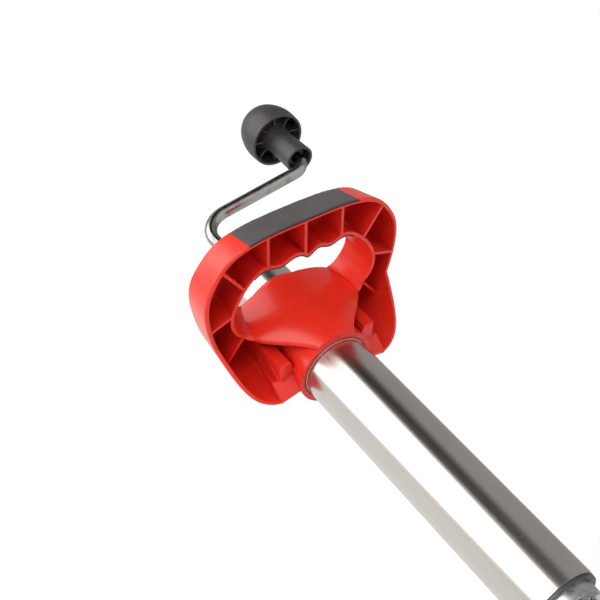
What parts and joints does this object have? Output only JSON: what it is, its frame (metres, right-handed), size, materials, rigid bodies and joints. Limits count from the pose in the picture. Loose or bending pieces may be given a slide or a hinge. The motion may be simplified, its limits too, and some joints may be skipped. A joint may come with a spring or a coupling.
{
  "type": "jockey wheel with manoeuvring handle",
  "caption": "Crank-wound trailer jockey wheel: round clamping tube with a D-shaped finger-grip handle, bent crank with bell knob, sliding leg, swivel fork and solid rubber wheel.",
  "frame": {"origin": "on the outer tube's axis, just below the handle's collar, where the bare clamping length begins", "axes": "+Z along the tube towards the crank, +Y towards the hand grip"},
  "size_m": [0.2468, 0.2715, 0.829],
  "materials": {
    "tube_steel": "satin zinc-plated drawn tube",
    "handle_red": "glossy moulded red",
    "grip_black": "soft matte dark grey",
    "knob_grey": "fine-grained dark grey",
    "crank_chrome": "bright zinc-plated bar",
    "zinc_steel": "zinc-plated",
    "zinc_fastener": "zinc-plated",
    "bare_steel": "oiled",
    "bearing_steel": "ground",
    "bush_plastic": "moulded nylon",
    "rim_paint": "silver paint",
    "tyre_rubber": "solid rubber"
  },
  "bodies": {
    "outer": {"outer_tube": "tube_steel", "handle_frame": "handle_red", "grip_pad_outer": "grip_black", "grip_pad_finger": "grip_black", "handle_screws": "zinc_fastener", "top_cap": "zinc_steel", "cap_rivets": "zinc_fastener", "crank_bush": "bush_plastic", "bearing_seat": "bare_steel", "race_fixed": "bearing_steel", "thrust_balls": "bearing_steel", "ball_cage": "bush_plastic", "lower_guide_bush": "bush_plastic", "guide_key": "bare_steel"},
    "crank": {"crank_bar": "crank_chrome", "crank_pin": "zinc_fastener", "thrust_collar": "zinc_steel", "collar_pin": "zinc_fastener", "race_turning": "bearing_steel", "spindle": "bare_steel", "end_stop": "bare_steel", "stop_pin": "zinc_fastener", "knob_clip": "zinc_fastener"},
    "knob": {"knob": "knob_grey"},
    "leg": {"inner_tube": "zinc_steel", "spindle_nut": "bare_steel", "upper_guide_ring": "bush_plastic", "foot_plug": "bare_steel", "king_pin": "zinc_fastener", "king_washer": "zinc_fastener", "king_nut": "zinc_fastener", "swivel_race_upper": "bearing_steel", "swivel_balls": "bearing_steel"},
    "fork": {"fork": "zinc_steel", "swivel_race_lower": "bearing_steel", "axle_bolt": "zinc_fastener", "axle_nut": "zinc_fastener", "axle_washers": "zinc_fastener", "axle_spacer": "zinc_steel"},
    "wheel": {"rim_right": "rim_paint", "rim_left": "rim_paint", "rim_bolts": "zinc_fastener", "rim_nuts": "zinc_fastener", "tyre": "tyre_rubber", "hub_tube": "rim_paint", "hub_bushes": "bush_plastic"}
  },
  "joints": [
    {"name": "crank_turn", "type": "hinge", "parent": "outer", "child": "crank", "pos_m": [0, 0, 0.17], "axis": [0, 0, -1], "range_deg": [0, 14400]},
    {"name": "leg_extend", "type": "slide", "parent": "outer", "child": "leg", "axis": [0, 0, -1], "range_m": [0, 0.2]},
    {"name": "knob_spin", "type": "hinge", "parent": "crank", "child": "knob", "pos_m": [-0.123, 0.0186, 0.28], "axis": [0, 0, 1], "continuous": true},
    {"name": "fork_swivel", "type": "hinge", "parent": "leg", "child": "fork", "pos_m": [0, 0, -0.28404], "axis": [0, 0, 1], "continuous": true},
    {"name": "wheel_spin", "type": "hinge", "parent": "fork", "child": "wheel", "pos_m": [0, -0.045, -0.40504], "axis": [1, 0, 0], "continuous": true}
  ],
  "couplings": [
    {"joint": "leg_extend", "follows": "crank_turn", "m_per_rad": 0.00079577}
  ]
}
